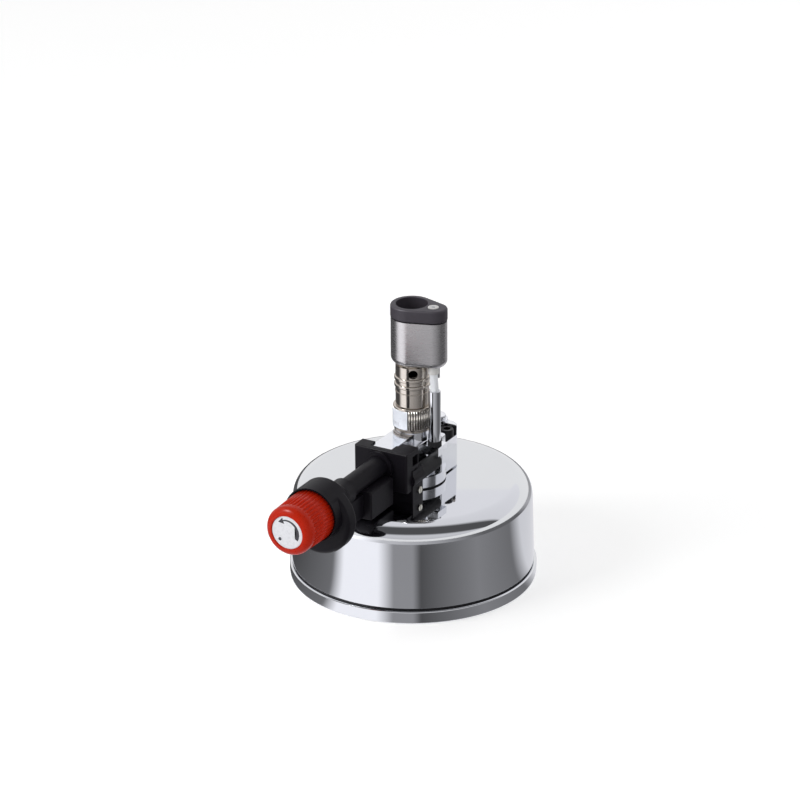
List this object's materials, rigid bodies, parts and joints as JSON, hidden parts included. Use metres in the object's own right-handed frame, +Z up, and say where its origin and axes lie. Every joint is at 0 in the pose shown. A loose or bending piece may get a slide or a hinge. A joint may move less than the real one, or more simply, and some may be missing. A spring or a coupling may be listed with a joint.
{
  "type": "bunsen burner",
  "caption": "Table-top gas burner with a round chrome fuel tank, upright nickel tube with flame ring and air sleeve, drop-shaped head, and a push-and-turn ignition knob on a side arm.",
  "frame": {"origin": "on the table, at the middle of the foot pad's underside, under the burner tube's axis", "axes": "+Z up along the burner tube, -Y out along the igniter arm to the knob, +X towards the electrode and its conduit"},
  "size_m": [0.08, 0.118, 0.0931],
  "materials": {
    "rubber_black": "matt black rubber",
    "tank_chrome": "bright polished chrome",
    "tank_plastic": "plain moulded, not seen",
    "brass": "turned",
    "felt": "pressed felt",
    "spring_steel": "drawn wire and turned steel",
    "lead_white": "satin white insulation",
    "block_chrome": "bright chrome on die-cast metal",
    "screw_black": "black oxide, satin",
    "nickel": "warm bright nickel",
    "head_steel": "satin, brushed round",
    "head_dark": "matt charcoal",
    "ceramic_white": "unglazed off-white",
    "case_black": "satin black",
    "screw_pale": "bright zinc",
    "spark_case": "plain moulded, not seen",
    "knob_red": "semi-gloss orange-red",
    "badge_white": "silvery white"
  },
  "bodies": {
    "base": {"base_pan": "tank_chrome", "block_gasket": "rubber_black", "block_screws": "screw_black", "bracket_screws": "screw_pale", "burner_block": "block_chrome", "burner_tube": "nickel", "conduit_gland": "rubber_black", "electrode_insulator": "ceramic_white", "electrode_wire": "spring_steel", "filler_body": "brass", "filler_clip": "spring_steel", "filler_nut": "brass", "filler_seal": "rubber_black", "filler_spring": "spring_steel", "flame_screen": "spring_steel", "foot_pad": "rubber_black", "fuel_tank_cup": "tank_plastic", "fuel_tank_lid": "tank_plastic", "gas_jet": "brass", "head_cap": "head_dark", "head_shroud": "head_steel", "igniter_bracket": "case_black", "igniter_housing": "case_black", "ignition_lead": "lead_white", "insulator_clip": "spring_steel", "knob_guard": "case_black", "lead_boot": "rubber_black", "lead_conduit": "block_chrome", "outlet_stem": "brass", "pickup_filter": "felt", "pickup_tube": "brass", "regulator_cap": "block_chrome", "return_spring": "spring_steel", "ring_washer": "nickel", "seam_gasket": "rubber_black", "spark_unit": "spark_case", "tank_shell": "tank_chrome", "valve_seat": "rubber_black"},
    "push_rod": {"push_rod": "spring_steel", "knob_screw": "spring_steel", "valve_stem": "spring_steel"},
    "knob": {"knob": "knob_red", "knob_badge": "badge_white"},
    "flame_ring": {"flame_ring": "nickel"},
    "air_sleeve": {"air_sleeve": "nickel"},
    "filler_stem": {"filler_stem": "brass"}
  },
  "joints": [
    {"name": "knob_push", "type": "slide", "parent": "base", "child": "push_rod", "axis": [0, 1, 0], "range_m": [0, 0.005], "stiffness_N_per_m": 800, "deforming": ["return_spring"]},
    {"name": "knob_turn", "type": "hinge", "parent": "push_rod", "child": "knob", "pos_m": [0, -0.07, 0.0455], "axis": [0, 1, 0], "range_deg": [0, 60]},
    {"name": "flame_ring_turn", "type": "hinge", "parent": "base", "child": "flame_ring", "pos_m": [0, 0, 0.055], "axis": [0, 0, 1], "range_deg": [0, 270]},
    {"name": "air_sleeve_turn", "type": "hinge", "parent": "base", "child": "air_sleeve", "pos_m": [0, 0, 0.0657], "axis": [0, 0, 1], "range_deg": [0, 90]},
    {"name": "filler_push", "type": "slide", "parent": "base", "child": "filler_stem", "axis": [0, 0, 1], "range_m": [0, 0.0015], "stiffness_N_per_m": 400, "deforming": ["filler_spring"]}
  ]
}
